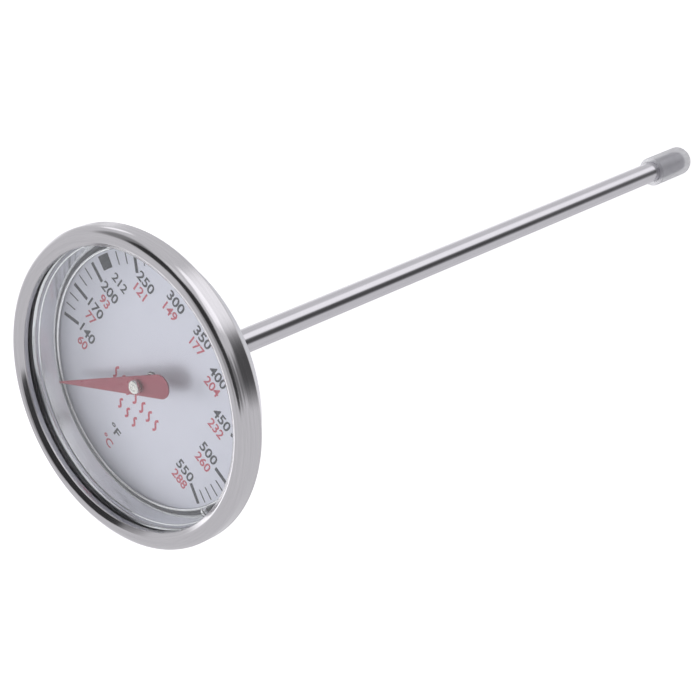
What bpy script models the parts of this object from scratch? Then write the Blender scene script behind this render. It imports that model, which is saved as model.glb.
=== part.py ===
"""A bimetal grill thermometer: a round dial in a crimped steel case, on a long thin stem.

The dial faces -Y and the stem runs along +Y. Y = 0 is the rear face of the bezel, +Z is the dial's
twelve o'clock and +X its three o'clock. Every dimension is in millimetres and is turned into metres
where a mesh is made.

A turned piece is an outline of (radius, y) points going round the piece's cross-section.
"""
import math

import bmesh
import bpy
from mathutils import Matrix

MM = 0.001
LARGE_TURN = 64   # sides of the dial, case, lens and bezel
SMALL_TURN = 24   # sides of the stem and of all that is inside it
GAP = 0.05        # between two faces that touch

# Bezel: one strip of steel rolled into a bead in front and folded flat behind.
BEZEL_RADIUS = 23.0
BEZEL_SHEET = 0.4
BEAD_CREST = -3.65
BEAD_RADIUS = 1.5
LIP_RADIUS = 20.28
LIP_END = -2.1
REAR_FOLD_INNER_RADIUS = 21.1
REAR_FOLD_BEND = 0.5

# Lens and gasket, clamped between the bead's lip and the case flange.
LENS_RADIUS = 22.35
LENS_FRONT = LIP_END + GAP
LENS_THICKNESS = 0.95
GASKET_INNER_RADIUS = 20.5
GASKET_THICKNESS = 0.2

# Case: a drawn cup with a flange, a ledge for the dial and a well for the stem's collar.
CASE_SHEET = 0.35
FLANGE_FRONT = -0.8
FLANGE_BEND = 1.0
FLANGE_RADIUS = 22.3
WALL_TOP_RADIUS = 20.1
WALL_BOTTOM_RADIUS = 19.2
LEDGE_DEPTH = 3.3
LEDGE_INNER_RADIUS = 15.0
WELL_RADIUS = 14.2
WELL_DEPTH = 5.2
CASE_BORE_RADIUS = 2.1
CASE_CORNER = 0.2         # size of the smallest corner, which the others are multiples of
WALL_STEP = 0.15          # the fine step where the flange's bend meets the wall

# Dial and the wire ring that holds it down, itself held by two dimples in the case wall.
DIAL_RADIUS = 19.05
DIAL_FRONT = 2.9
DIAL_THICKNESS = 0.35
DIAL_BORE_RADIUS = 1.15
RING_OUTER_RADIUS = 19.05
RING_SECTION = 0.4
RING_SPLIT_ANGLE = 147.0
RING_SPLIT_WIDTH = 1.0
DIMPLE_ANGLES = (147.0, 341.0)
DIMPLE_RADIUS = 0.55
DIMPLE_SUNK = 0.15        # how far each ball's middle lies outside the foot of the wall's inner face

# Pointer, seen from the front: tail, pivot and tip lie on one line, which widens towards the tail.
POINTER_FRONT = 0.05
POINTER_THICKNESS = 0.2
POINTER_TIP = 16.6
POINTER_TAIL = 6.15
POINTER_TAIL_WIDTH = 3.5
POINTER_TIP_WIDTH = 0.2
POINTER_REST_ANGLE = 232.5
TAIL_STEPS = 12
HUB_RADIUS = 0.95
HUB_NECK_RADIUS = 0.72
HUB_FRONT = -0.8
HUB_BEVEL = 0.15
HUB_FACE = 0.3            # metal left between the hub's front and the end of its bore
HUB_FLANGE = (1.3, 0.7)   # radius and thickness of the flange behind the pointer

# Spindle and bimetal strip.
SPINDLE_RADIUS = 0.5
SPINDLE_END = 91.0
BUSH_BORE_RADIUS = 0.56
COLLAR_RADIUS = 0.85
COLLAR_GRIP = 3.0         # length of the collar on the spindle
NOSE_LENGTH = 4.0         # how far the collar and the tip plug each reach into the coil
COIL_START = 92.0
COIL_END = 131.0
COIL_TURNS = 15
COIL_INNER_RADIUS = 0.95
COIL_STRIP = (0.2, 1.5)   # the strip's thickness across the stem and its width along it
COIL_STEPS = 10           # straight pieces in each turn

# Stem.
STEM_RADIUS = 1.8
STEM_WALL = 0.3
STEM_START = 3.75
STEM_TIP = 136.6
TIP_HEAD = 0.8
TIP_SHOULDER = 1.0        # from the coil's end to the part of the tip plug that fills the tube
STEM_COLLAR = (3.8, 0.6)  # radius and thickness of the collar inside the case
GUIDE_LENGTH = 3.0
GUIDE_NOSE = 0.3          # how far the upper guide stands in front of the dial
INNER_GUIDES = (("middle_guide", 45.0), ("lower_guide", 82.0))
NUT_ACROSS_FLATS = 8.0
NUT_LENGTH = 4.0
NUT_CHAMFER = 0.5

# Dished spring washer between the stem's collar and the bottom of the case.
WASHER_INNER_RADIUS = 2.05
WASHER_OUTER_RADIUS = 4.6
WASHER_SHEET = 0.25

# Push-on cap on the stem's tip.
CAP_MOUTH = 127.9
CAP_END = 138.4
CAP_RADIUS = 2.6
CAP_BORE_RADIUS = STEM_RADIUS + GAP
CAP_EDGE = 1.8
CAP_LIP_BEVEL = 0.2


def clear_scene():
    for item in list(bpy.data.objects):
        bpy.data.objects.remove(item, do_unlink=True)


def material(name, colour, roughness, metallic, transmission=0.0):
    made = bpy.data.materials.new(name)
    made.use_nodes = True
    shader = made.node_tree.nodes["Principled BSDF"]
    shader.inputs["Base Color"].default_value = (*colour, 1.0)
    shader.inputs["Roughness"].default_value = roughness
    shader.inputs["Metallic"].default_value = metallic
    shader.inputs["Transmission Weight"].default_value = transmission
    made.diffuse_color = (*colour, 1.0)
    return made


def add_object(name, bm, finish, parent=None, sharp_above=35.0):
    """Gives the bmesh an object of its own, scaled to metres, smooth but for its sharp corners."""
    bmesh.ops.scale(bm, vec=(MM, MM, MM), verts=bm.verts)
    bmesh.ops.recalc_face_normals(bm, faces=bm.faces)
    mesh = bpy.data.meshes.new(name)
    bm.to_mesh(mesh)
    bm.free()
    mesh.shade_smooth()
    mesh.set_sharp_from_angle(angle=math.radians(sharp_above))
    mesh.materials.append(finish)
    made = bpy.data.objects.new(name, mesh)
    made.parent = parent
    bpy.context.scene.collection.objects.link(made)
    return made


def add_axis(name, turned_by=0.0):
    """An empty on the stem's axis; turned_by is clockwise as seen from the front, in degrees."""
    axis = bpy.data.objects.new(name, None)
    axis.rotation_euler = (0.0, math.radians(turned_by), 0.0)
    bpy.context.scene.collection.objects.link(axis)
    return axis


def arc(centre, radius, start, end, steps):
    """Points on an arc of an outline. Angles are in degrees, from +radius towards +y."""
    angles = [math.radians(start + (end - start) * i / steps) for i in range(steps + 1)]
    return [(centre[0] + radius * math.cos(a), centre[1] + radius * math.sin(a)) for a in angles]


def turn(outline, sides):
    """A bmesh of the outline turned about the Y axis. A point on the axis becomes a single pole."""
    bm = bmesh.new()
    angles = [2 * math.pi * i / sides for i in range(sides)]
    rings = []
    for radius, y in outline:
        if radius == 0:
            rings.append([bm.verts.new((0, y, 0))] * sides)
        else:
            rings.append([bm.verts.new((radius * math.cos(a), y, radius * math.sin(a))) for a in angles])
    for ring, following in zip(rings, rings[1:] + rings[:1]):
        for i in range(sides):
            j = (i + 1) % sides
            corners = dict.fromkeys((ring[i], ring[j], following[j], following[i]))
            if len(corners) > 2:
                bm.faces.new(corners)
    return bm


def tube_outline(inner, outer, start, end):
    return [(inner, start), (outer, start), (outer, end), (inner, end)]


def rod_outline(radius, start, end):
    return [(0, start), (radius, start), (radius, end), (0, end)]


def bezel_outline():
    crown_radius = BEZEL_RADIUS - BEAD_RADIUS
    bead_centre = (crown_radius, BEAD_CREST + BEAD_RADIUS)
    lip_bend = crown_radius - LIP_RADIUS
    lip_centre = (crown_radius, BEAD_CREST + lip_bend)
    fold_centre = (BEZEL_RADIUS - REAR_FOLD_BEND, -REAR_FOLD_BEND)
    outside = [(REAR_FOLD_INNER_RADIUS, 0.0)]
    outside += arc(fold_centre, REAR_FOLD_BEND, 90, 0, 3)
    outside += arc(bead_centre, BEAD_RADIUS, 0, -90, 7)
    outside += arc(lip_centre, lip_bend, -90, -180, 6)[1:]
    outside += [(LIP_RADIUS, LIP_END)]
    inside = [(LIP_RADIUS + BEZEL_SHEET, LIP_END)]
    inside += arc(lip_centre, lip_bend - BEZEL_SHEET, -180, -90, 4)
    inside += arc(bead_centre, BEAD_RADIUS - BEZEL_SHEET, -90, 0, 4)[1:]
    inside += arc(fold_centre, REAR_FOLD_BEND - BEZEL_SHEET, 0, 90, 1)
    inside += [(REAR_FOLD_INNER_RADIUS, -BEZEL_SHEET)]
    return outside + inside


def case_outline():
    corner = CASE_CORNER
    bend_centre = (WALL_TOP_RADIUS + WALL_STEP + FLANGE_BEND, FLANGE_FRONT + FLANGE_BEND)
    front = [(FLANGE_RADIUS, FLANGE_FRONT)]
    front += arc(bend_centre, FLANGE_BEND, -90, -180, 4)
    front += [(WALL_TOP_RADIUS, corner)]
    front += [(WALL_BOTTOM_RADIUS, LEDGE_DEPTH - corner), (WALL_BOTTOM_RADIUS - corner, LEDGE_DEPTH)]
    front += [(LEDGE_INNER_RADIUS, LEDGE_DEPTH), (LEDGE_INNER_RADIUS - 2 * corner, LEDGE_DEPTH + 2 * corner)]
    front += [(WELL_RADIUS, WELL_DEPTH - 2 * corner), (WELL_RADIUS - 2 * corner, WELL_DEPTH)]
    front += [(CASE_BORE_RADIUS, WELL_DEPTH)]
    back = [(CASE_BORE_RADIUS, WELL_DEPTH + CASE_SHEET)]
    back += [(WELL_RADIUS - corner, WELL_DEPTH + CASE_SHEET), (WELL_RADIUS + 2 * corner, WELL_DEPTH - corner)]
    back += [(LEDGE_INNER_RADIUS, LEDGE_DEPTH + 3 * corner)]
    back += [(LEDGE_INNER_RADIUS + 2 * corner, LEDGE_DEPTH + CASE_SHEET)]
    back += [(WALL_BOTTOM_RADIUS - corner / 2, LEDGE_DEPTH + CASE_SHEET)]
    back += [(WALL_BOTTOM_RADIUS + CASE_SHEET, LEDGE_DEPTH - corner / 2)]
    back += [(WALL_TOP_RADIUS + CASE_SHEET, 1.5 * corner)]
    back += arc(bend_centre, FLANGE_BEND - CASE_SHEET, -180, -90, 3)
    back += [(FLANGE_RADIUS, FLANGE_FRONT + CASE_SHEET)]
    return front + back


def build_case(steel):
    """The cup, with the two dimples pressed into its wall joined on as half-sunk balls."""
    case = add_object("case_cup", turn(case_outline(), LARGE_TURN), steel)
    for number, angle in enumerate(DIMPLE_ANGLES, 1):
        bm = bmesh.new()
        bmesh.ops.create_icosphere(bm, subdivisions=2, radius=DIMPLE_RADIUS)
        turned = math.radians(angle)
        reach = WALL_BOTTOM_RADIUS + DIMPLE_SUNK
        level = DIAL_FRONT - GAP - RING_SECTION - GAP - DIMPLE_RADIUS
        bmesh.ops.translate(
            bm, verts=bm.verts, vec=(reach * math.cos(turned), level, reach * math.sin(turned)))
        dimple = add_object(f"dimple_{number}", bm, steel)
        dimple.hide_render = True
        dimple.display_type = "WIRE"
        join = case.modifiers.new(f"dimple_{number}", "BOOLEAN")
        join.operation = "UNION"
        join.object = dimple


def build_dial_ring(steel):
    """A ring of square wire, open at its split."""
    inner = RING_OUTER_RADIUS - RING_SECTION
    half_split = math.degrees(RING_SPLIT_WIDTH / 2 / inner)
    start = RING_SPLIT_ANGLE + half_split
    sweep = 360 - 2 * half_split
    rear = DIAL_FRONT - GAP
    section = tube_outline(inner, RING_OUTER_RADIUS, rear - RING_SECTION, rear)
    bm = bmesh.new()
    rings = []
    for i in range(LARGE_TURN + 1):
        a = math.radians(start + sweep * i / LARGE_TURN)
        rings.append([bm.verts.new((r * math.cos(a), y, r * math.sin(a))) for r, y in section])
    for ring, following in zip(rings, rings[1:]):
        for i in range(4):
            j = (i + 1) % 4
            bm.faces.new((ring[i], ring[j], following[j], following[i]))
    bm.faces.new(rings[0])
    bm.faces.new(rings[-1])
    add_object("dial_retaining_ring", bm, steel)


def build_head(steel, aluminium, glass, silicone):
    add_object("bezel_ring", turn(bezel_outline(), LARGE_TURN), steel)
    lens_rear = LENS_FRONT + LENS_THICKNESS
    add_object("lens", turn(rod_outline(LENS_RADIUS, LENS_FRONT, lens_rear), LARGE_TURN), glass)
    gasket_front = lens_rear + GAP
    gasket = tube_outline(
        GASKET_INNER_RADIUS, FLANGE_RADIUS, gasket_front, gasket_front + GASKET_THICKNESS - GAP)
    add_object("lens_gasket", turn(gasket, LARGE_TURN), silicone)
    build_case(steel)
    dial = tube_outline(DIAL_BORE_RADIUS, DIAL_RADIUS, DIAL_FRONT, DIAL_FRONT + DIAL_THICKNESS)
    add_object("dial_plate", turn(dial, LARGE_TURN), aluminium)
    build_dial_ring(steel)


def hub_outline():
    """The hub grips the pointer in a groove, and is bored from behind for the spindle."""
    flange_radius, flange = HUB_FLANGE
    groove_front = POINTER_FRONT - GAP
    groove_rear = POINTER_FRONT + POINTER_THICKNESS + GAP
    bore = SPINDLE_RADIUS + GAP
    return [
        (0, HUB_FRONT), (HUB_RADIUS - HUB_BEVEL, HUB_FRONT), (HUB_RADIUS, HUB_FRONT + HUB_BEVEL),
        (HUB_RADIUS, groove_front), (HUB_NECK_RADIUS, groove_front),
        (HUB_NECK_RADIUS, groove_rear), (flange_radius, groove_rear),
        (flange_radius, groove_rear + flange), (bore, groove_rear + flange),
        (bore, HUB_FRONT + HUB_FACE), (0, HUB_FRONT + HUB_FACE)]


def pointer_outline():
    """Half-widths grow evenly from the tip to the tail, which ends in a round."""
    tail = POINTER_TAIL_WIDTH / 2
    tip = POINTER_TIP_WIDTH / 2
    points = [(POINTER_TIP, -tip), (POINTER_TIP, tip)]
    return points + arc((tail - POINTER_TAIL, 0), tail, 90, 270, TAIL_STEPS)


def build_pointer_plate(finish, axis):
    hole = arc((0, 0), HUB_NECK_RADIUS + GAP, 0, 360, SMALL_TURN)[:-1]
    bm = bmesh.new()
    edges = []
    for loop in (pointer_outline(), hole):
        corners = [bm.verts.new((x, POINTER_FRONT, z)) for x, z in loop]
        edges += [bm.edges.new(pair) for pair in zip(corners, corners[1:] + corners[:1])]
    sheet = bmesh.ops.triangle_fill(bm, edges=edges, use_beauty=True)["geom"]
    faces = [item for item in sheet if isinstance(item, bmesh.types.BMFace)]
    grown = bmesh.ops.extrude_face_region(bm, geom=faces, use_keep_orig=True)["geom"]
    moved = [item for item in grown if isinstance(item, bmesh.types.BMVert)]
    bmesh.ops.translate(bm, verts=moved, vec=(0, POINTER_THICKNESS, 0))
    add_object("pointer", bm, finish, axis)


def build_movement(red, nickel, steel):
    """All that turns with the pointer. The rest angle is counted from three o'clock, anticlockwise."""
    axis = add_axis("pointer_axis", -POINTER_REST_ANGLE)
    build_pointer_plate(red, axis)
    add_object("pointer_hub", turn(hub_outline(), SMALL_TURN), nickel, axis)
    spindle = rod_outline(SPINDLE_RADIUS, HUB_FRONT + HUB_FACE + GAP, SPINDLE_END - GAP)
    add_object("spindle", turn(spindle, SMALL_TURN // 2), steel, axis)
    bore = SPINDLE_RADIUS + GAP
    mouth = SPINDLE_END - COLLAR_GRIP
    nose = SPINDLE_END + NOSE_LENGTH
    collar = [
        (0, SPINDLE_END), (bore, SPINDLE_END), (bore, mouth), (COLLAR_RADIUS, mouth),
        (COLLAR_RADIUS, nose), (0, nose)]
    add_object("coil_collar", turn(collar, SMALL_TURN // 2), nickel, axis)


def build_coil(bimetal, axis):
    """A flat strip wound into a helix, its width lying along the stem."""
    thickness, width = COIL_STRIP
    steps = COIL_TURNS * COIL_STEPS
    travel = COIL_END - COIL_START - width
    bm = bmesh.new()
    rings = []
    for i in range(steps + 1):
        a = 2 * math.pi * i / COIL_STEPS
        y = COIL_START + travel * i / steps
        section = tube_outline(COIL_INNER_RADIUS, COIL_INNER_RADIUS + thickness, y, y + width)
        rings.append([bm.verts.new((r * math.cos(a), p, r * math.sin(a))) for r, p in section])
    for ring, following in zip(rings, rings[1:]):
        for i in range(4):
            j = (i + 1) % 4
            bm.faces.new((ring[i], ring[j], following[j], following[i]))
    bm.faces.new(rings[0])
    bm.faces.new(rings[-1])
    add_object("bimetal_coil", bm, bimetal, axis)


def standing_on_y(y):
    """A matrix that lays a cone, made along Z, on the Y axis with its middle at y."""
    return Matrix.Translation((0, y, 0)) @ Matrix.Rotation(math.radians(-90), 4, "X")


def build_nut(steel, axis):
    """A hexagon nut whose corners are turned off at both ends, on the stem just behind the case."""
    corner = NUT_ACROSS_FLATS / math.sqrt(3)
    start = WELL_DEPTH + CASE_SHEET + 2 * GAP
    end = start + NUT_LENGTH
    face = corner - NUT_CHAMFER
    turned_ends = [
        (STEM_RADIUS + GAP, start), (face, start), (corner, start + NUT_CHAMFER / 2),
        (corner, end - NUT_CHAMFER / 2), (face, end), (STEM_RADIUS + GAP, end)]
    nut = add_object("calibration_nut", turn(turned_ends, SMALL_TURN), steel, axis)
    bar = bmesh.new()
    bmesh.ops.create_cone(
        bar, cap_ends=True, segments=6, radius1=corner, radius2=corner, depth=NUT_LENGTH + 2,
        matrix=standing_on_y((start + end) / 2))
    hexagon = add_object("nut_hexagon", bar, steel, axis)
    hexagon.hide_render = True
    hexagon.display_type = "WIRE"
    cut = nut.modifiers.new("hexagon", "BOOLEAN")
    cut.operation = "INTERSECT"
    cut.object = hexagon


def build_stem(steel, brass, bimetal):
    """The stem and all that is fixed in it. It turns as one in the case when the dial is set."""
    axis = add_axis("stem_axis")
    inner = STEM_RADIUS - STEM_WALL
    tube_end = STEM_TIP - TIP_HEAD - GAP
    tube = tube_outline(inner, STEM_RADIUS, STEM_START, tube_end)
    add_object("stem_tube", turn(tube, SMALL_TURN), steel, axis)
    collar_radius, collar_thickness = STEM_COLLAR
    collar = tube_outline(STEM_RADIUS + GAP, collar_radius, STEM_START, STEM_START + collar_thickness)
    add_object("stem_collar", turn(collar, SMALL_TURN), steel, axis)
    build_nut(steel, axis)

    nose = DIAL_BORE_RADIUS - 2 * GAP
    nose_front = DIAL_FRONT - GUIDE_NOSE
    guide_end = STEM_START + GUIDE_LENGTH
    upper = [
        (BUSH_BORE_RADIUS, nose_front), (nose, nose_front), (nose, STEM_START - GAP),
        (inner - GAP, STEM_START - GAP), (inner - GAP, guide_end), (BUSH_BORE_RADIUS, guide_end)]
    add_object("upper_guide", turn(upper, SMALL_TURN), brass, axis)
    for name, start in INNER_GUIDES:
        guide = tube_outline(BUSH_BORE_RADIUS, inner - GAP, start, start + GUIDE_LENGTH)
        add_object(name, turn(guide, SMALL_TURN), brass, axis)

    build_coil(bimetal, axis)
    head_start = STEM_TIP - TIP_HEAD
    nose_end = COIL_END - NOSE_LENGTH
    shoulder = COIL_END + TIP_SHOULDER
    plug = [(0, nose_end), (COLLAR_RADIUS, nose_end), (COLLAR_RADIUS, shoulder)]
    plug += [(inner - GAP, shoulder), (inner - GAP, head_start), (STEM_RADIUS, head_start)]
    plug += arc((STEM_RADIUS - TIP_HEAD, head_start), TIP_HEAD, 0, 90, 4)[1:] + [(0, STEM_TIP)]
    add_object("tip_plug", turn(plug, SMALL_TURN), steel, axis)


def build_friction_washer(steel):
    """The washer presses the stem's collar away from the bottom of the case."""
    inner, outer, sheet = WASHER_INNER_RADIUS, WASHER_OUTER_RADIUS, WASHER_SHEET
    start = STEM_START + STEM_COLLAR[1] + GAP
    end = WELL_DEPTH - GAP
    dish = [
        (inner, start), (inner + sheet, start), (outer, end - sheet), (outer, end), (outer - sheet, end),
        (inner, start + sheet)]
    add_object("friction_washer", turn(dish, SMALL_TURN), steel)


def build_cap(vinyl):
    """A soft sleeve with a closed, rounded end, pushed onto the stem's tip."""
    bore_end = STEM_TIP + GAP
    edge_centre = (CAP_RADIUS - CAP_EDGE, CAP_END - CAP_EDGE)
    outline = [(CAP_BORE_RADIUS, CAP_MOUTH), (CAP_RADIUS - CAP_LIP_BEVEL, CAP_MOUTH)]
    outline += [(CAP_RADIUS, CAP_MOUTH + CAP_LIP_BEVEL)]
    outline += arc(edge_centre, CAP_EDGE, 0, 90, 6)
    outline += [(0, CAP_END), (0, bore_end), (CAP_BORE_RADIUS, bore_end)]
    add_object("tip_cap", turn(outline, SMALL_TURN), vinyl, add_axis("cap_axis"))


def main():
    clear_scene()
    satin_steel = material("satin_steel", (0.62, 0.61, 0.60), 0.3, 1.0)
    bright_steel = material("bright_steel", (0.70, 0.70, 0.71), 0.15, 1.0)
    dial_aluminium = material("dial_aluminium", (0.62, 0.64, 0.68), 0.45, 0.3)
    lens_glass = material("lens_glass", (1.0, 1.0, 1.0), 0.0, 0.0, 1.0)
    silicone = material("silicone", (0.03, 0.03, 0.03), 0.6, 0.0)
    red_paint = material("red_paint", (0.45, 0.04, 0.06), 0.4, 0.0)
    nickel = material("nickel", (0.70, 0.68, 0.64), 0.25, 1.0)
    brass = material("brass", (0.72, 0.52, 0.22), 0.3, 1.0)
    bimetal = material("bimetal", (0.45, 0.42, 0.38), 0.35, 1.0)
    vinyl = material("vinyl", (0.82, 0.82, 0.84), 0.35, 0.0, 0.6)
    build_head(satin_steel, dial_aluminium, lens_glass, silicone)
    build_friction_washer(bright_steel)
    build_stem(bright_steel, brass, bimetal)
    build_movement(red_paint, nickel, bright_steel)
    build_cap(vinyl)


main()
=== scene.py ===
import math

import bmesh
import bpy
from mathutils import Matrix, Vector


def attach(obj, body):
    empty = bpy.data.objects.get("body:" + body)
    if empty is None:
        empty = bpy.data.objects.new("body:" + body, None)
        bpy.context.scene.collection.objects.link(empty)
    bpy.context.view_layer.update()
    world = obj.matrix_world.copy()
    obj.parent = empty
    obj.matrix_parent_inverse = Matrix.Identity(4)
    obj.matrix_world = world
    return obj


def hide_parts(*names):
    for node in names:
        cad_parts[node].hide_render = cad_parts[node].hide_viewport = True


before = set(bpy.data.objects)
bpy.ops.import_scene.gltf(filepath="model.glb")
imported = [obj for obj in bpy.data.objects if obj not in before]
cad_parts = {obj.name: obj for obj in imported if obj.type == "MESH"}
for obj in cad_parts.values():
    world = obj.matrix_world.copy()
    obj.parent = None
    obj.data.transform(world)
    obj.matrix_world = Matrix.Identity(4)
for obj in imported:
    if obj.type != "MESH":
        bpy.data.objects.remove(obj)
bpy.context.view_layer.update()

# A bimetal grill thermometer. The dial faces -Y and the stem runs along +Y; Y = 0 is the bezel's rear
# face, +Z is twelve o'clock and +X three o'clock. Sizes are in millimetres until a mesh is made.
# A turned piece is an outline of (radius, y) points, with a third number where a corner is rounded.

MM = 0.001
SIDES = 256          # sides of the large turned pieces
STEM_SIDES = 96      # sides of the stem, cap, hub and guide

# The sizes of the CAD model that these pieces share.
GAP = 0.05           # between two faces that touch
BEZEL_RADIUS = 23.0
BEZEL_SHEET = 0.4
BEAD_CREST = -3.65
BEAD_RADIUS = 1.5
LIP_RADIUS = 20.28
LIP_END = -2.1
REAR_FOLD_INNER_RADIUS = 21.1
REAR_FOLD_BEND = 0.5
LENS_RADIUS = 22.35
LENS_FRONT = -2.05
LENS_REAR = -1.1
GASKET = (20.5, 22.3, -1.05, -0.9)
CASE_SHEET = 0.35
FLANGE_RADIUS = 22.3
FLANGE_FRONT = -0.8
FLANGE_BEND = 1.0
WALL_TOP_RADIUS = 20.1
WALL_BOTTOM_RADIUS = 19.2
WALL_STEP = 0.15     # the fine step where the flange's bend meets the wall
LEDGE_DEPTH = 3.3
WELL_DEPTH = 5.2
CASE_BORE_RADIUS = 2.1
DIAL_RADIUS = 19.05
DIAL_FRONT = 2.9
DIAL_REAR = 3.25
DIAL_BORE_RADIUS = 1.15
RING_RADIUS = 18.85
RING_WIRE_RADIUS = 0.2
RING_SPLIT_ANGLE = 147.0
RING_SPLIT_WIDTH = 1.0
DIMPLE_ANGLES = (147.0, 341.0)
DIMPLE_RADIUS = 0.55
POINTER_FRONT = 0.05
POINTER_REAR = 0.25
POINTER_TIP = 16.6
POINTER_TAIL = 6.15
POINTER_TAIL_HALF = 1.75
POINTER_TIP_HALF = 0.1
POINTER_REST_ANGLE = 232.5
HUB_RADIUS = 0.95
HUB_NECK_RADIUS = 0.72
HUB_FRONT = -0.8
HUB_FACE = 0.3       # metal left between the hub's front and the end of its bore
HUB_FLANGE = (1.3, 0.7)
SPINDLE_RADIUS = 0.5
BUSH_BORE_RADIUS = 0.56
GUIDE_LENGTH = 3.0
GUIDE_NOSE = 0.3     # how far the upper guide stands in front of the dial
STEM_RADIUS = 1.8
STEM_BORE_RADIUS = 1.5
STEM_START = 3.75
STEM_TIP = 136.6
TIP_HEAD = 0.8       # the part of the tip plug that stands out of the tube
NUT_ACROSS_FLATS = 8.0
NUT_LENGTH = 4.0
NUT_CHAMFER = 0.5
CAP_RADIUS = 2.6
CAP_EDGE = 1.8
CAP_MOUTH = 127.9
CAP_END = 138.4

# The camera: where it stands, which way it looks and how far it is rolled, in degrees.
CAMERA_PLACE = (0.07613, -0.17194, 0.20027)
CAMERA_AZIMUTH = -18.13
CAMERA_ELEVATION = 42.325
CAMERA_ROLL = 40.08
CAMERA_LENS = 103.17


# ---------------------------------------------------------------- meshes

def arc(centre, radius, start, end, steps):
    """Points on an arc of an outline. Angles are in degrees, from +radius towards +y."""
    angles = [math.radians(start + (end - start) * i / steps) for i in range(steps + 1)]
    return [(centre[0] + radius * math.cos(a), centre[1] + radius * math.sin(a)) for a in angles]


def rounded(outline, steps=5):
    """The outline with each corner that carries a third number turned into an arc of that radius."""
    points = []
    for i, corner in enumerate(outline):
        here = Vector(corner[:2])
        if len(corner) < 3:
            points.append(tuple(here))
            continue
        before = Vector(outline[i - 1][:2]) - here
        after = Vector(outline[(i + 1) % len(outline)][:2]) - here
        half = before.angle(after) / 2
        reach = min(corner[2] / math.tan(half), before.length * 0.49, after.length * 0.49)
        radius = reach * math.tan(half)
        middle = here + (before.normalized() + after.normalized()).normalized() * radius / math.sin(half)
        start = here + before.normalized() * reach - middle
        turn_by = start.angle_signed(here + after.normalized() * reach - middle)
        for step in range(steps + 1):
            spun = Matrix.Rotation(-turn_by * step / steps, 2) @ start
            points.append(tuple(middle + spun))
    return points


def lathe(outline, sides):
    """A bmesh of a closed outline turned about the Y axis. A point on the axis becomes a pole."""
    bm = bmesh.new()
    angles = [2 * math.pi * i / sides for i in range(sides)]
    rings = []
    for radius, y in outline:
        if radius < 1e-9:
            rings.append([bm.verts.new((0, y, 0))] * sides)
        else:
            rings.append([bm.verts.new((radius * math.cos(a), y, radius * math.sin(a))) for a in angles])
    for ring, following in zip(rings, rings[1:] + rings[:1]):
        for i in range(sides):
            j = (i + 1) % sides
            corners = dict.fromkeys((ring[i], ring[j], following[j], following[i]))
            if len(corners) > 2:
                bm.faces.new(corners)
    return bm


def piece(name, bm, finish, body, replaces=(), sharp_above=40.0):
    """Makes an object of a bmesh in millimetres, and says what it rides on and stands for."""
    bmesh.ops.scale(bm, vec=(MM, MM, MM), verts=bm.verts)
    bmesh.ops.recalc_face_normals(bm, faces=bm.faces)
    mesh = bpy.data.meshes.new(name)
    bm.to_mesh(mesh)
    bm.free()
    mesh.shade_smooth()
    mesh.set_sharp_from_angle(angle=math.radians(sharp_above))
    mesh.materials.append(finish)
    made = bpy.data.objects.new(name, mesh)
    bpy.context.scene.collection.objects.link(made)
    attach(made, body)
    if replaces:
        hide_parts(*replaces)
    even_shading(made)
    return made


def even_shading(made):
    """Flat faces shade flat, however their edges are rounded."""
    weighted = made.modifiers.new("even_shading", "WEIGHTED_NORMAL")
    weighted.keep_sharp = True
    weighted.weight = 100


def break_edges(made, width, angle=30.0):
    """A small bevel along each edge sharper than the angle, made before the shading is worked out."""
    edge = made.modifiers.new("edge", "BEVEL")
    edge.width = width * MM
    edge.segments = 2
    edge.limit_method = "ANGLE"
    edge.angle_limit = math.radians(angle)
    made.modifiers.move(len(made.modifiers) - 1, 0)


# ---------------------------------------------------------------- materials

def node(tree, kind, inputs=None, **settings):
    made = tree.nodes.new("ShaderNode" + kind)
    for key, value in settings.items():
        setattr(made, key, value)
    for key, value in (inputs or {}).items():
        if isinstance(value, bpy.types.NodeSocket):
            tree.links.new(value, made.inputs[key])
        else:
            made.inputs[key].default_value = value
    return made


def math_node(tree, operation, *values):
    return node(tree, "Math", dict(enumerate(values)), operation=operation).outputs[0]


def new_material(name, **sockets):
    made = bpy.data.materials.new(name)
    made.use_nodes = True
    shader = made.node_tree.nodes["Principled BSDF"]
    for key, value in sockets.items():
        shader.inputs[key.replace("_", " ")].default_value = value
    return made, made.node_tree, shader


def place_mm(tree):
    """Where a point is on its piece, in millimetres."""
    coordinates = node(tree, "TexCoord").outputs["Object"]
    to_mm = (1 / MM, 1 / MM, 1 / MM)
    return node(tree, "VectorMath", {0: coordinates, 1: to_mm}, operation="MULTIPLY").outputs[0]


def turned_noise(tree, around, across, detail):
    """Noise drawn out round the Y axis: `around` patches per radian, `across` per millimetre."""
    place = place_mm(tree)
    flat = node(tree, "VectorMath", {0: place, 1: (1, 0, 1)}, operation="MULTIPLY").outputs[0]
    radius = node(tree, "VectorMath", {0: flat}, operation="LENGTH").outputs["Value"]
    unit = node(tree, "VectorMath", {0: flat}, operation="NORMALIZE").outputs[0]
    spread = node(tree, "VectorMath", {0: unit, 1: (around, 1, around)}, operation="MULTIPLY").outputs[0]
    lift = node(tree, "CombineXYZ", {"Y": math_node(tree, "MULTIPLY", radius, across)}).outputs[0]
    vector = node(tree, "VectorMath", {0: spread, 1: lift}, operation="ADD").outputs[0]
    depth = node(tree, "SeparateXYZ", {0: place}).outputs["Y"]
    return node(tree, "TexNoise", {
        "Vector": vector, "W": math_node(tree, "MULTIPLY", depth, across), "Scale": 1.0, "Detail": detail},
        noise_dimensions="4D").outputs[0]


def stretched_noise(tree, scale, detail):
    """Noise with its own scale along each axis, per millimetre."""
    place = place_mm(tree)
    vector = node(tree, "VectorMath", {0: place, 1: scale}, operation="MULTIPLY").outputs[0]
    return node(tree, "TexNoise", {"Vector": vector, "Scale": 1.0, "Detail": detail}).outputs[0]


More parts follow.
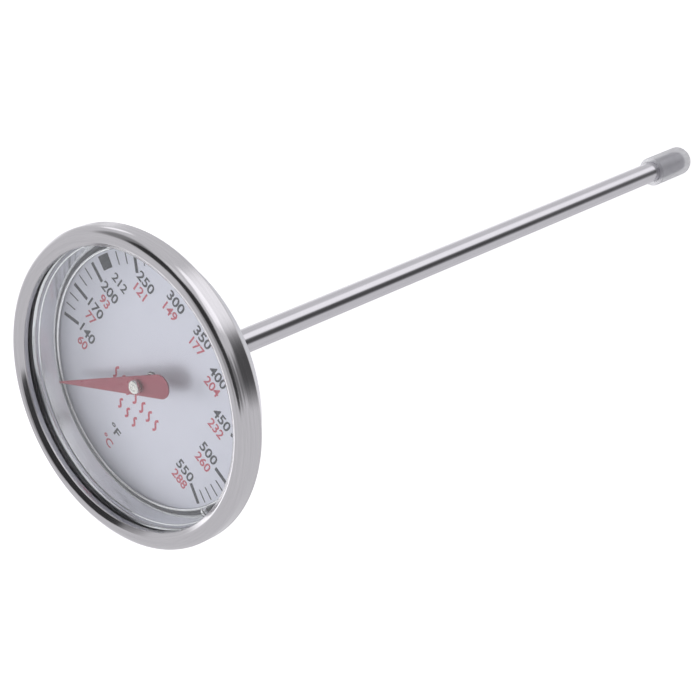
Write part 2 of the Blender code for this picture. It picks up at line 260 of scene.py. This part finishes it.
def ranged(tree, value, low, high, start=0.3, end=0.7):
    """value between start and end, mapped to low to high."""
    return node(tree, "MapRange", {
        "Value": value, "From Min": start, "From Max": end, "To Min": low, "To Max": high}).outputs[0]


def blended(tree, factor, under, over):
    """`over` laid on `under` by the factor. Each is a colour with its alpha, or another node's output."""
    inputs = {"Factor": factor, "A": under, "B": over}
    return node(tree, "Mix", inputs, data_type="RGBA").outputs["Result"]


def tint(tree, shader, mask, dark, light):
    """The shader's colour, from dark to light by the mask."""
    colour = blended(tree, ranged(tree, mask, 0, 1), (*dark, 1), (*light, 1))
    tree.links.new(colour, shader.inputs["Base Color"])


def roughen(tree, shader, mask, low, high, **span):
    """The shader's roughness, from low to high by the mask."""
    tree.links.new(ranged(tree, mask, low, high, **span), shader.inputs["Roughness"])


def emboss(tree, shader, height, distance):
    """A fine relief, its depth in metres."""
    relief = node(tree, "Bump", {"Height": height, "Distance": distance}).outputs[0]
    tree.links.new(relief, shader.inputs["Normal"])


def scaled(colour, by):
    return tuple(channel * by for channel in colour)


def spun_steel(name, colour, roughness, spread, anisotropic=0.0):
    """Steel polished round the Y axis: fine grooves, broader streaks and the odd longer scratch."""
    made, tree, shader = new_material(name, Metallic=1.0, Anisotropic=anisotropic)
    streaks = turned_noise(tree, 2.0, 3.0, detail=4)
    grain = turned_noise(tree, 12.0, 14.0, detail=2)
    mixed = math_node(tree, "MULTIPLY_ADD", grain, 0.4, math_node(tree, "MULTIPLY", streaks, 0.6))
    tint(tree, shader, mixed, scaled(colour, 0.93), scaled(colour, 1.05))
    roughen(tree, shader, mixed, roughness - spread, roughness + spread)
    emboss(tree, shader, mixed, 0.000004)
    if anisotropic:
        tangent = node(tree, "Tangent", direction_type="RADIAL", axis="Y").outputs[0]
        tree.links.new(tangent, shader.inputs["Tangent"])
        shader.inputs["Anisotropic Rotation"].default_value = 0.25
    return made


def drawn_steel(name, colour, roughness, spread):
    """Steel tube drawn along Y: faint lengthwise lines, with a little clouding."""
    made, tree, shader = new_material(name, Metallic=1.0)
    lines = stretched_noise(tree, (9.0, 0.06, 9.0), detail=4)
    clouds = stretched_noise(tree, (0.7, 0.25, 0.7), detail=2)
    mixed = math_node(tree, "MULTIPLY_ADD", clouds, 0.35, math_node(tree, "MULTIPLY", lines, 0.65))
    tint(tree, shader, mixed, scaled(colour, 0.94), scaled(colour, 1.05))
    roughen(tree, shader, mixed, roughness - spread, roughness + spread)
    emboss(tree, shader, lines, 0.000003)
    return made


def plain_metal(name, colour, roughness):
    """Machined or stamped metal with small clouds of wear."""
    made, tree, shader = new_material(name, Metallic=1.0)
    clouds = stretched_noise(tree, (1.6, 1.6, 1.6), detail=5)
    tint(tree, shader, clouds, scaled(colour, 0.88), scaled(colour, 1.06))
    roughen(tree, shader, clouds, roughness - 0.06, roughness + 0.06)
    emboss(tree, shader, clouds, 0.000003)
    return made


def dial_coating():
    """Silver-white coated aluminium, very finely grained."""
    made, tree, shader = new_material("dial_coating", Metallic=0.25)
    grain = stretched_noise(tree, (22.0, 22.0, 22.0), detail=2)
    clouds = stretched_noise(tree, (0.25, 0.25, 0.25), detail=3)
    mixed = math_node(tree, "MULTIPLY_ADD", grain, 0.5, math_node(tree, "MULTIPLY", clouds, 0.5))
    tint(tree, shader, mixed, (0.63, 0.63, 0.72), (0.68, 0.68, 0.77))
    roughen(tree, shader, mixed, 0.42, 0.52)
    emboss(tree, shader, grain, 0.000006)
    return made


def ink(name, dark, light):
    """Screen-printed ink, a little uneven in its cover."""
    made, tree, shader = new_material(name, Roughness=0.5)
    cover = stretched_noise(tree, (3.0, 3.0, 3.0), detail=3)
    tint(tree, shader, cover, dark, light)
    emboss(tree, shader, cover, 0.000003)
    return made


def red_paint():
    """Satin red paint with a faint orange-peel surface."""
    made, tree, shader = new_material("red_paint", Roughness=0.42)
    peel = stretched_noise(tree, (4.0, 4.0, 4.0), detail=2)
    clouds = stretched_noise(tree, (0.5, 0.5, 0.5), detail=3)
    tint(tree, shader, clouds, (0.24, 0.045, 0.070), (0.29, 0.060, 0.088))
    emboss(tree, shader, peel, 0.000004)
    return made


def dark_rubber():
    """Dark grey, a little clouded; the seal shows as a dark ring in the crevice inside the lip."""
    made, tree, shader = new_material("dark_rubber", Roughness=0.6)
    clouds = stretched_noise(tree, (3.0, 3.0, 3.0), detail=3)
    tint(tree, shader, clouds, (0.07, 0.07, 0.072), (0.12, 0.12, 0.123))
    emboss(tree, shader, clouds, 0.00001)
    return made


def let_light_through(tree, shader):
    """Shadow rays pass straight through, so that glass doesn't darken what is behind it."""
    clear = node(tree, "BsdfTransparent")
    shadow = node(tree, "LightPath").outputs["Is Shadow Ray"]
    mixed = node(tree, "MixShader", {0: shadow, 1: shader.outputs[0], 2: clear.outputs[0]})
    tree.links.new(mixed.outputs[0], tree.nodes["Material Output"].inputs["Surface"])


def lens_glass():
    """Clear glass with a few faint smears."""
    made, tree, shader = new_material(
        "lens_glass", Transmission_Weight=1.0, IOR=1.5, Base_Color=(0.97, 0.985, 0.98, 1))
    smears = stretched_noise(tree, (0.12, 0.12, 0.12), detail=4)
    roughen(tree, shader, smears, 0.0, 0.03, start=0.5, end=0.8)
    let_light_through(tree, shader)
    return made


def frosted_vinyl():
    """Soft milky vinyl, with faint moulding marks, that shows the stem through it."""
    made, tree, shader = new_material("frosted_vinyl", IOR=1.4, Alpha=0.56)
    clouds = stretched_noise(tree, (1.2, 0.5, 1.2), detail=3)
    roughen(tree, shader, clouds, 0.26, 0.38)
    tint(tree, shader, clouds, (0.88, 0.88, 0.92), (0.96, 0.96, 0.99))
    emboss(tree, shader, clouds, 0.00001)
    return made


# ---------------------------------------------------------------- head

def build_bezel(finish):
    crown = BEZEL_RADIUS - BEAD_RADIUS
    lip_bend = crown - LIP_RADIUS
    slope = 36.0                 # how far the flat slope inside the crest leans inward
    crest_bend, lip_corner = 1.0, 0.35
    crest_centre = (crown, BEAD_CREST + crest_bend)
    crest_edge = arc(crest_centre, crest_bend, -90, -90 - slope, 12)[1:]
    lean = math.radians(slope)
    corner_radius = LIP_RADIUS + lip_corner
    corner_start = corner_radius - lip_corner * math.sin(lean)
    fall = (crest_edge[-1][0] - corner_start) * math.tan(lean)
    corner_centre = (corner_radius, crest_edge[-1][1] + fall + lip_corner * math.cos(lean))
    fold_centre = (BEZEL_RADIUS - REAR_FOLD_BEND, -REAR_FOLD_BEND)
    lip_centre = (crown, BEAD_CREST + lip_bend)
    bead_centre = (crown, BEAD_CREST + BEAD_RADIUS)
    outline = [(REAR_FOLD_INNER_RADIUS, 0.0)]
    outline += arc(fold_centre, REAR_FOLD_BEND, 90, 0, 8)
    outline += arc(bead_centre, BEAD_RADIUS, 0, -90, 24)
    outline += crest_edge + arc(corner_centre, lip_corner, -90 - slope, -180, 10)
    outline += arc((LIP_RADIUS + BEZEL_SHEET / 2, LIP_END - BEZEL_SHEET / 2), BEZEL_SHEET / 2, 180, 0, 8)
    outline += arc(lip_centre, lip_bend - BEZEL_SHEET, -180, -90, 10)
    outline += arc(bead_centre, BEAD_RADIUS - BEZEL_SHEET, -90, 0, 10)[1:]
    outline += arc(fold_centre, REAR_FOLD_BEND - BEZEL_SHEET, 0, 90, 4)
    outline += [(REAR_FOLD_INNER_RADIUS, -BEZEL_SHEET)]
    piece("bezel_skin", lathe(outline, SIDES), finish, "head", ["bezel_ring"])


def build_case(finish):
    """The drawn cup: flange, conical wall, dial ledge and well, with two dimples pressed into the wall."""
    bend_centre = (WALL_TOP_RADIUS + WALL_STEP + FLANGE_BEND, FLANGE_FRONT + FLANGE_BEND)
    well_mouth_radius, well_foot_radius = 14.8, 14.0
    well_offset = 0.25           # how far the well's outside stands out from its inside
    under_ledge = LEDGE_DEPTH + CASE_SHEET
    back = WELL_DEPTH + CASE_SHEET
    outline = [(FLANGE_RADIUS, FLANGE_FRONT)]
    outline += arc(bend_centre, FLANGE_BEND, -90, -180, 16)
    outline += [
        (WALL_TOP_RADIUS + 0.02, 0.28, 0.1), (WALL_BOTTOM_RADIUS, LEDGE_DEPTH, 0.5),
        (well_mouth_radius, LEDGE_DEPTH, 0.5), (well_foot_radius, WELL_DEPTH, 0.6),
        (CASE_BORE_RADIUS, WELL_DEPTH), (CASE_BORE_RADIUS, back),
        (well_foot_radius + well_offset, back, 0.9), (well_mouth_radius + well_offset, under_ledge, 0.2),
        (WALL_BOTTOM_RADIUS + CASE_SHEET, under_ledge, 0.8), (WALL_TOP_RADIUS + 0.4, 0.4, 0.1)]
    outline += arc(bend_centre, FLANGE_BEND - CASE_SHEET, -180, -90, 10)
    outline += [(FLANGE_RADIUS, FLANGE_FRONT + CASE_SHEET)]
    piece("case_shell", lathe(rounded(outline), SIDES), finish, "head", ["case_cup"])
    reach = WALL_BOTTOM_RADIUS + 0.15
    depth = 1.85
    for number, angle in enumerate(DIMPLE_ANGLES, 1):
        turned = math.radians(angle)
        bm = bmesh.new()
        bmesh.ops.create_icosphere(bm, subdivisions=4, radius=DIMPLE_RADIUS)
        middle = (reach * math.cos(turned), depth, reach * math.sin(turned))
        bmesh.ops.translate(bm, verts=bm.verts, vec=middle)
        piece(f"case_dimple_{number}", bm, finish, "head")


def build_glazing(glass, rubber):
    pane = [
        (0, LENS_FRONT), (LENS_RADIUS, LENS_FRONT, 0.12), (LENS_RADIUS, LENS_REAR, 0.12), (0, LENS_REAR)]
    piece("lens_pane", lathe(rounded(pane, 3), SIDES), glass, "head", ["lens"])
    inner, outer, front, rear = GASKET
    ring = [(inner, front), (outer, front), (outer, rear), (inner, rear)]
    piece("lens_seal", lathe(ring, SIDES), rubber, "head", ["lens_gasket"])


def build_dial(coating, steel):
    plate = [
        (DIAL_BORE_RADIUS, DIAL_FRONT, 0.05), (DIAL_RADIUS, DIAL_FRONT, 0.08),
        (DIAL_RADIUS, DIAL_REAR, 0.08), (DIAL_BORE_RADIUS, DIAL_REAR)]
    piece("dial_disc", lathe(rounded(plate, 3), SIDES), coating, "head", ["dial_plate"])
    bm = bmesh.new()
    half_split = math.degrees(RING_SPLIT_WIDTH / 2 / RING_RADIUS)
    wire = arc((RING_RADIUS, DIAL_FRONT - GAP - RING_WIRE_RADIUS), RING_WIRE_RADIUS, 0, 330, 11)
    sections = []
    for i in range(SIDES + 1):
        a = math.radians(RING_SPLIT_ANGLE + half_split + (360 - 2 * half_split) * i / SIDES)
        sections.append([bm.verts.new((r * math.cos(a), y, r * math.sin(a))) for r, y in wire])
    for section, following in zip(sections, sections[1:]):
        for i in range(len(section)):
            j = (i + 1) % len(section)
            bm.faces.new((section[i], section[j], following[j], following[i]))
    bm.faces.new(sections[0])
    bm.faces.new(sections[-1])
    piece("dial_wire_ring", bm, steel, "head", ["dial_retaining_ring"])


# ---------------------------------------------------------------- dial print

PRINT_FRONT = DIAL_FRONT - 0.02
PRINT_THICKNESS = 0.019
FAHRENHEIT = {   # temperature: where the number's middle is, x and z
    140: (-12.07, -5.28), 170: (-13.2, -0.76), 200: (-12.83, 3.62), 250: (-9.21, 10.63), 300: (-3.9, 13.04),
    350: (2.24, 13.1), 400: (7.42, 10.87), 450: (11.56, 6.49), 500: (13.11, 0.35), 550: (12.0, -5.69)}
CELSIUS_DROP = -2.0          # the Celsius number stands this far under its Fahrenheit number
CELSIUS_SHIFT = 0.12
THIN_TICKS = (150, 160, 180, 190, 220, 230, 240, 260, 510, 520, 530, 540)
BOLD_TICK = (15.2, 18.2, 0.55)           # inner and outer radius, and width
THIN_TICK = (16.4, 18.3, 0.2)
BOILING_BLOCK = (16.3, 18.4, 154.1, 161.0)   # inner and outer radius, first and last angle
LETTER_WEIGHT = 0.018
BLACK_DIGIT = (1.66, 1.17)               # height and width of a digit
RED_DIGIT = (1.52, 1.02)
SIGN = (1.45, 2.1)                       # height and width of a degree sign with its letter
HEAT_ROWS = (                            # strokes, spacing, x and z of the row's middle, and height
    (7, 1.6, -0.34, -5.17, 2.07),
    (3, 1.7, -0.1, -8.35, 1.72))
HEAT_STROKE_WIDTH = 0.36
HEAT_STROKE_SWAY = 0.28


def scale_angle(fahrenheit):
    """Degrees anticlockwise from three o'clock. The scale closes up a little towards its hot end."""
    above = fahrenheit - 140
    return 201.5 - 0.588 * above + 5.3e-10 * above ** 4


def polar_patch(bm, inner, outer, start, end):
    """A patch between two radii and two angles, in the print's plane."""
    steps = 6
    corners = []
    for radius, order in ((inner, range(steps + 1)), (outer, range(steps, -1, -1))):
        for i in order:
            a = math.radians(start + (end - start) * i / steps)
            corners.append(bm.verts.new((radius * math.cos(a), PRINT_FRONT, radius * math.sin(a))))
    bm.faces.new(corners)


def bar(bm, angle, inner, outer, width):
    """A straight tick that points at the dial's middle."""
    a = math.radians(angle)
    along = Vector((math.cos(a), 0, math.sin(a)))
    across = Vector((-math.sin(a), 0, math.cos(a))) * width / 2
    lift = Vector((0, PRINT_FRONT, 0))
    corners = (along * inner - across, along * outer - across, along * outer + across, along * inner + across)
    bm.faces.new([bm.verts.new(corner + lift) for corner in corners])


def lettering(bm, text, centre, height, width):
    """Text of that height and width over all, facing -Y."""
    curve = bpy.data.curves.new("lettering", "FONT")
    curve.body = text
    curve.resolution_u = 6
    curve.offset = LETTER_WEIGHT
    shaped = bpy.data.objects.new("lettering", curve)
    bpy.context.scene.collection.objects.link(shaped)
    bpy.context.view_layer.update()
    mesh = bpy.data.meshes.new_from_object(shaped.evaluated_get(bpy.context.evaluated_depsgraph_get()))
    bpy.data.objects.remove(shaped)
    xs = [v.co.x for v in mesh.vertices]
    ys = [v.co.y for v in mesh.vertices]
    across = width / (max(xs) - min(xs))
    up = height / (max(ys) - min(ys))
    for v in mesh.vertices:
        x = centre[0] + (v.co.x - (max(xs) + min(xs)) / 2) * across
        z = centre[1] + (v.co.y - (max(ys) + min(ys)) / 2) * up
        v.co = (x, PRINT_FRONT, z)
    bm.from_mesh(mesh)
    bpy.data.meshes.remove(mesh)


def heat_stroke(bm, x, z, height):
    """One upright wavy stroke."""
    steps = 24
    left, right = [], []
    for i in range(steps + 1):
        share = i / steps
        turn = 2 * math.pi * share
        slope = HEAT_STROKE_SWAY * 2 * math.pi * math.cos(turn) / height
        normal = Vector((1, -slope)).normalized() * HEAT_STROKE_WIDTH / 2
        middle = Vector((x + HEAT_STROKE_SWAY * math.sin(turn), z + (share - 0.5) * height))
        left.append(middle - normal)
        right.append(middle + normal)
    lower = None
    for sides in zip(left, right):
        upper = [bm.verts.new((p.x, PRINT_FRONT, p.y)) for p in sides]
        if lower:
            bm.faces.new((lower[0], lower[1], upper[1], upper[0]))
        lower = upper


def thicken(bm, faces, depth):
    """Gives flat faces a thickness towards +Y."""
    grown = bmesh.ops.extrude_face_region(bm, geom=faces, use_keep_orig=True)["geom"]
    moved = [item for item in grown if isinstance(item, bmesh.types.BMVert)]
    bmesh.ops.translate(bm, verts=moved, vec=(0, depth, 0))


def print_piece(name, bm, finish):
    """A flat print made solid, down to the dial."""
    thicken(bm, bm.faces[:], PRINT_THICKNESS)
    piece(name, bm, finish, "head", sharp_above=20.0)


def numeral(bm, value, centre, height, digit):
    """A number, each figure one digit wide but narrower where a 1 stands, as in most type."""
    text = str(value)
    width = digit * (len(text) - 0.28 * text.count("1")) - 0.12 * digit
    lettering(bm, text, centre, height, width)


def build_print(black, red):
    dark, bright = bmesh.new(), bmesh.new()
    for fahrenheit, (x, z) in FAHRENHEIT.items():
        bar(dark, scale_angle(fahrenheit), *BOLD_TICK)
        numeral(dark, fahrenheit, (x, z), *BLACK_DIGIT)
        celsius = round((fahrenheit - 32) / 1.8)
        numeral(bright, celsius, (x + CELSIUS_SHIFT, z + CELSIUS_DROP), *RED_DIGIT)
    for fahrenheit in THIN_TICKS:
        bar(dark, scale_angle(fahrenheit), *THIN_TICK)
    polar_patch(dark, *BOILING_BLOCK)
    lettering(dark, "212", (-12.4, 6.38), 1.45, 3.0)
    lettering(dark, "°F", (0, -12.76), *SIGN)
    lettering(bright, "°C", (0, -15.45), *SIGN)
    for strokes, spacing, x, z, height in HEAT_ROWS:
        for i in range(strokes):
            heat_stroke(bright, (i - (strokes - 1) / 2) * spacing + x, z, height)
    print_piece("dial_print_black", dark, black)
    print_piece("dial_print_red", bright, red)


# ---------------------------------------------------------------- pointer, stem and cap

def build_pointer(paint, nickel):
    outline = [(POINTER_TIP, -POINTER_TIP_HALF), (POINTER_TIP, POINTER_TIP_HALF)]
    outline += arc((POINTER_TAIL_HALF - POINTER_TAIL, 0), POINTER_TAIL_HALF, 90, 270, 40)
    hole = arc((0, 0), HUB_NECK_RADIUS + GAP, 0, 360, 48)[:-1]
    rest = Matrix.Rotation(math.radians(-POINTER_REST_ANGLE), 4, "Y")
    bm = bmesh.new()
    edges = []
    for loop in (outline, hole):
        corners = [bm.verts.new((x, POINTER_FRONT, z)) for x, z in loop]
        edges += [bm.edges.new(pair) for pair in zip(corners, corners[1:] + corners[:1])]
    sheet = bmesh.ops.triangle_fill(bm, edges=edges, use_beauty=True)["geom"]
    faces = [item for item in sheet if isinstance(item, bmesh.types.BMFace)]
    thicken(bm, faces, POINTER_REAR - POINTER_FRONT)
    bmesh.ops.transform(bm, matrix=rest, verts=bm.verts)
    blade = piece("pointer_blade", bm, paint, "movement", ["pointer"])
    break_edges(blade, 0.03)

    groove_start, groove_floor, groove_end = 0.42, 0.46, 0.52
    groove_depth = 0.06
    flange_radius, flange_thickness = HUB_FLANGE
    flange_front = 0.3
    flange_rear = flange_front + flange_thickness
    bore, bore_end = SPINDLE_RADIUS + GAP, HUB_FRONT + HUB_FACE
    hub = [
        (0, HUB_FRONT), (groove_start, HUB_FRONT), (groove_floor, HUB_FRONT + groove_depth),
        (groove_end, HUB_FRONT), (HUB_RADIUS, HUB_FRONT, 0.14), (HUB_RADIUS, 0.0, 0.05),
        (HUB_NECK_RADIUS, 0.0), (HUB_NECK_RADIUS, flange_front), (flange_radius, flange_front, 0.08),
        (flange_radius, flange_rear, 0.08), (bore, flange_rear), (bore, bore_end), (0, bore_end)]
    piece("hub_stud", lathe(rounded(hub), STEM_SIDES), nickel, "movement", ["pointer_hub"])


def build_stem(steel, bush):
    tube_end = STEM_TIP - TIP_HEAD - GAP
    tube = [
        (STEM_BORE_RADIUS, STEM_START), (STEM_RADIUS, STEM_START, 0.05), (STEM_RADIUS, tube_end, 0.03),
        (STEM_BORE_RADIUS, tube_end)]
    piece("stem_skin", lathe(rounded(tube), STEM_SIDES), steel, "stem", ["stem_tube"])
    nose_radius, nose_front = 1.05, DIAL_FRONT - GUIDE_NOSE
    body_radius, body_front = STEM_BORE_RADIUS - GAP, STEM_START - GAP
    body_rear = STEM_START + GUIDE_LENGTH
    guide = [
        (BUSH_BORE_RADIUS, nose_front, 0.08), (nose_radius, nose_front, 0.15), (nose_radius, body_front),
        (body_radius, body_front), (body_radius, body_rear), (BUSH_BORE_RADIUS, body_rear)]
    piece("guide_bush", lathe(rounded(guide), STEM_SIDES), bush, "stem", ["upper_guide"])


def build_nut(steel):
    """The hexagon, its corners turned off at both ends, with its edges broken."""
    bore = STEM_RADIUS + GAP
    corner = NUT_ACROSS_FLATS / math.sqrt(3)
    face = corner - NUT_CHAMFER
    fall = NUT_CHAMFER / 2
    start = 5.65
    end = start + NUT_LENGTH
    turned_sides = 144
    blank = [
        (bore, start), (face, start), (corner, start + fall), (corner, end - fall), (face, end), (bore, end)]
    bar_mesh = bmesh.new()
    upright = Matrix.Translation((0, (start + end) / 2, 0)) @ Matrix.Rotation(math.radians(-90), 4, "X")
    bmesh.ops.create_cone(
        bar_mesh, cap_ends=True, segments=6, radius1=corner, radius2=corner, depth=NUT_LENGTH + 2,
        matrix=upright)
    hexagon = piece("nut_hexagon", bar_mesh, steel, "stem")
    nut = piece("spanner_nut", lathe(blank, turned_sides), steel, "stem", ["calibration_nut"])
    cut = nut.modifiers.new("hexagon", "BOOLEAN")
    cut.operation = "INTERSECT"
    cut.object = hexagon
    bpy.context.view_layer.update()
    shaped = bpy.data.meshes.new_from_object(nut.evaluated_get(bpy.context.evaluated_depsgraph_get()))
    nut.modifiers.clear()
    nut.data = shaped
    bpy.data.objects.remove(hexagon)
    even_shading(nut)
    break_edges(nut, 0.08, 35.0)


def build_cap(vinyl):
    bore = STEM_RADIUS + GAP
    core_end = STEM_TIP + GAP
    outline = [
        (bore, CAP_MOUTH, 0.15), (CAP_RADIUS, CAP_MOUTH, 0.2),
        *arc((CAP_RADIUS - CAP_EDGE, CAP_END - CAP_EDGE), CAP_EDGE, 0, 90, 16), (0, CAP_END),
        (0, core_end), (bore, core_end, 0.4)]
    piece("cap_sleeve", lathe(rounded(outline), STEM_SIDES), vinyl, "cap", ["tip_cap"])


# ---------------------------------------------------------------- studio

def set_finish(name, finish):
    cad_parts[name].data.materials.clear()
    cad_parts[name].data.materials.append(finish)


def build_camera():
    azimuth, elevation, roll = (math.radians(v) for v in (CAMERA_AZIMUTH, CAMERA_ELEVATION, CAMERA_ROLL))
    reach = math.cos(elevation)
    forward = Vector((reach * math.sin(azimuth), reach * math.cos(azimuth), -math.sin(elevation)))
    level = Vector((math.cos(azimuth), -math.sin(azimuth), 0))
    upright = level.cross(forward)
    right = math.cos(roll) * level + math.sin(roll) * upright
    up = right.cross(forward)
    data = bpy.data.cameras.new("camera")
    data.lens = CAMERA_LENS
    data.sensor_width = 36
    data.clip_start = 0.01
    camera = bpy.data.objects.new("camera", data)
    turned = Matrix((right, up, -forward)).transposed()
    camera.matrix_world = Matrix.Translation(CAMERA_PLACE) @ turned.to_4x4()
    bpy.context.scene.collection.objects.link(camera)
    bpy.context.scene.camera = camera


LAMP_DISTANCE = 0.6              # metres, as are the lamps' sizes and the floor's
FLOOR_HEIGHT = -0.5
FLOOR_HALF_WIDTH = 6.0


def soft_light(name, towards, size, watts):
    """A round soft lamp for matt surfaces. What metal and glass mirror is the world's."""
    data = bpy.data.lights.new(name, "AREA")
    data.shape = "DISK"
    data.size = size
    data.energy = watts
    light = bpy.data.objects.new(name, data)
    towards = Vector(towards).normalized()
    light.matrix_world = (
        Matrix.Translation(towards * LAMP_DISTANCE) @ towards.to_track_quat("Z", "Y").to_matrix().to_4x4())
    light.visible_glossy = False
    light.visible_transmission = False
    bpy.context.scene.collection.objects.link(light)


# What the metal reflects: an even surround, with soft round patches laid over one another. A patch is its
# azimuth (0 in front of the dial, growing towards +X), its elevation, the radius inside which it is full
# and the radius at which it ends, all in degrees, and its brightness.
SURROUND = (0.72, 0.715, 0.745)
PATCH_TINT = (1.0, 0.99, 1.03)
PATCHES = (
    (-140, 70, 18, 27, 1.45),     # ceiling panel, behind and above the dial
    (-20, 80, 9, 16, 1.3),
    (-3, -6, 8, 18, 0.42),        # the dark side of the room, round the camera
    (-62, 8, 12, 24, 0.28),
    (-40, 15, 16, 21, 0.04),
    (-10, 24, 19, 25, 0.04),
    (18, 20, 16, 21, 0.05),
    (45, 37, 7, 20, 0.20),        # a dark ribbon that rises on the right and falls behind
    (88, 50, 7, 20, 0.22),
    (124, 46, 5, 18, 0.2),
    (149, 35, 5, 24, 0.09),
    (-165, 43, 7, 23, 1.2),       # narrow lamp above the stem
    (-50, 46, 5, 14, 0.9),
    (-110, -58, 12, 34, 1.9),     # the main soft box
    (-114, 0, 5, 12, 1.4),
    (-142, -19, 4, 12, 1.1),
    (166, -12, 4, 14, 1.05))
DIFFUSE_SHARE = 0.4               # the room is dimmer for matt surfaces, which the two lamps light


def direction(azimuth, elevation):
    """The unit vector towards a patch."""
    a, e = math.radians(azimuth), math.radians(elevation)
    return (math.sin(a) * math.cos(e), -math.cos(a) * math.cos(e), math.sin(e))


def build_world():
    """White where the camera looks straight at it; a studio with light and dark sides for all else."""
    world = bpy.data.worlds.new("studio")
    bpy.context.scene.world = world
    world.use_nodes = True
    tree = world.node_tree
    output = tree.nodes["World Output"]
    seen = tree.nodes["Background"]
    seen.inputs["Color"].default_value = (1, 1, 1, 1)
    seen.inputs["Strength"].default_value = 1.0
    outward = node(tree, "TexCoord").outputs["Generated"]
    colour = node(tree, "RGB").outputs[0]
    colour.default_value = (*SURROUND, 1)
    for azimuth, elevation, full, ends, brightness in PATCHES:
        facing = node(tree, "VectorMath", {0: outward, 1: direction(azimuth, elevation)},
                      operation="DOT_PRODUCT").outputs["Value"]
        share = node(tree, "MapRange", {
            "Value": facing, "From Min": math.cos(math.radians(ends)),
            "From Max": math.cos(math.radians(full)), "To Min": 0.0, "To Max": 1.0},
            interpolation_type="SMOOTHSTEP").outputs[0]
        colour = blended(tree, share, colour, (*scaled(PATCH_TINT, brightness), 1))
    path = node(tree, "LightPath")
    strength = ranged(tree, path.outputs["Is Diffuse Ray"], 1.0, DIFFUSE_SHARE, 0.0, 1.0)
    around = node(tree, "Background", {"Color": colour, "Strength": strength})
    mixed = node(tree, "MixShader", {
        0: path.outputs["Is Camera Ray"], 1: around.outputs[0], 2: seen.outputs[0]})
    tree.links.new(mixed.outputs[0], output.inputs["Surface"])


def build_floor():
    """A wide pale floor, well below the stem. Metal and matt surfaces don't see it."""
    made, tree, shader = new_material("pale_floor", Roughness=0.9)
    clouds = stretched_noise(tree, (0.004, 0.004, 0.004), detail=2)
    tint(tree, shader, clouds, (0.9, 0.9, 0.9), (0.93, 0.93, 0.93))
    shader.inputs["Emission Color"].default_value = (1, 1, 1, 1)
    shader.inputs["Emission Strength"].default_value = 0.8
    bm = bmesh.new()
    bmesh.ops.create_grid(bm, x_segments=4, y_segments=4, size=FLOOR_HALF_WIDTH)
    bmesh.ops.translate(bm, verts=bm.verts, vec=(0, 0, FLOOR_HEIGHT))
    mesh = bpy.data.meshes.new("floor")
    bm.to_mesh(mesh)
    bm.free()
    mesh.materials.append(made)
    floor = bpy.data.objects.new("floor", mesh)
    bpy.context.scene.collection.objects.link(floor)
    floor.visible_glossy = False
    floor.visible_diffuse = False
    floor.visible_shadow = False


def main():
    bpy.context.scene.view_settings.view_transform = "Standard"
    build_camera()
    build_world()
    build_floor()
    soft_light("key", (-0.17, -0.86, -0.48), 0.26, 1.5)
    soft_light("side", (-0.66, -0.46, -0.60), 0.24, 1.85)

    bezel_steel = spun_steel("bezel_steel", (0.65, 0.64, 0.65), 0.14, 0.03, anisotropic=0.4)
    # The cup's steel is lighter than the other steels: its own pale stainless, with a painted highlight in
    # its colour that stands for the bright reflections on the cup's wall. The dial's wire ring shares it.
    case_steel = spun_steel("case_steel", (0.78, 0.78, 0.80), 0.15, 0.05)
    stem_steel = drawn_steel("stem_steel", (0.66, 0.65, 0.67), 0.13, 0.03)
    nut_steel = plain_metal("nut_steel", (0.60, 0.60, 0.60), 0.3)
    spring_steel = plain_metal("spring_steel", (0.50, 0.50, 0.51), 0.35)
    nickel = plain_metal("nickel", (0.72, 0.71, 0.69), 0.28)
    brass = plain_metal("brass", (0.72, 0.55, 0.28), 0.3)
    bimetal = plain_metal("bimetal", (0.42, 0.39, 0.35), 0.4)

    build_bezel(bezel_steel)
    build_case(case_steel)
    build_glazing(lens_glass(), dark_rubber())
    build_dial(dial_coating(), case_steel)
    build_print(ink("black_ink", (0.030, 0.031, 0.043), (0.045, 0.046, 0.060)),
                ink("red_ink", (0.42, 0.07, 0.11), (0.50, 0.10, 0.14)))
    build_pointer(red_paint(), nickel)
    build_stem(stem_steel, nickel)
    build_nut(nut_steel)
    build_cap(frosted_vinyl())
    for name, finish in (
            ("friction_washer", spring_steel), ("stem_collar", stem_steel), ("middle_guide", brass),
            ("lower_guide", brass), ("tip_plug", stem_steel), ("bimetal_coil", bimetal),
            ("spindle", spring_steel), ("coil_collar", nickel)):
        set_finish(name, finish)


main()
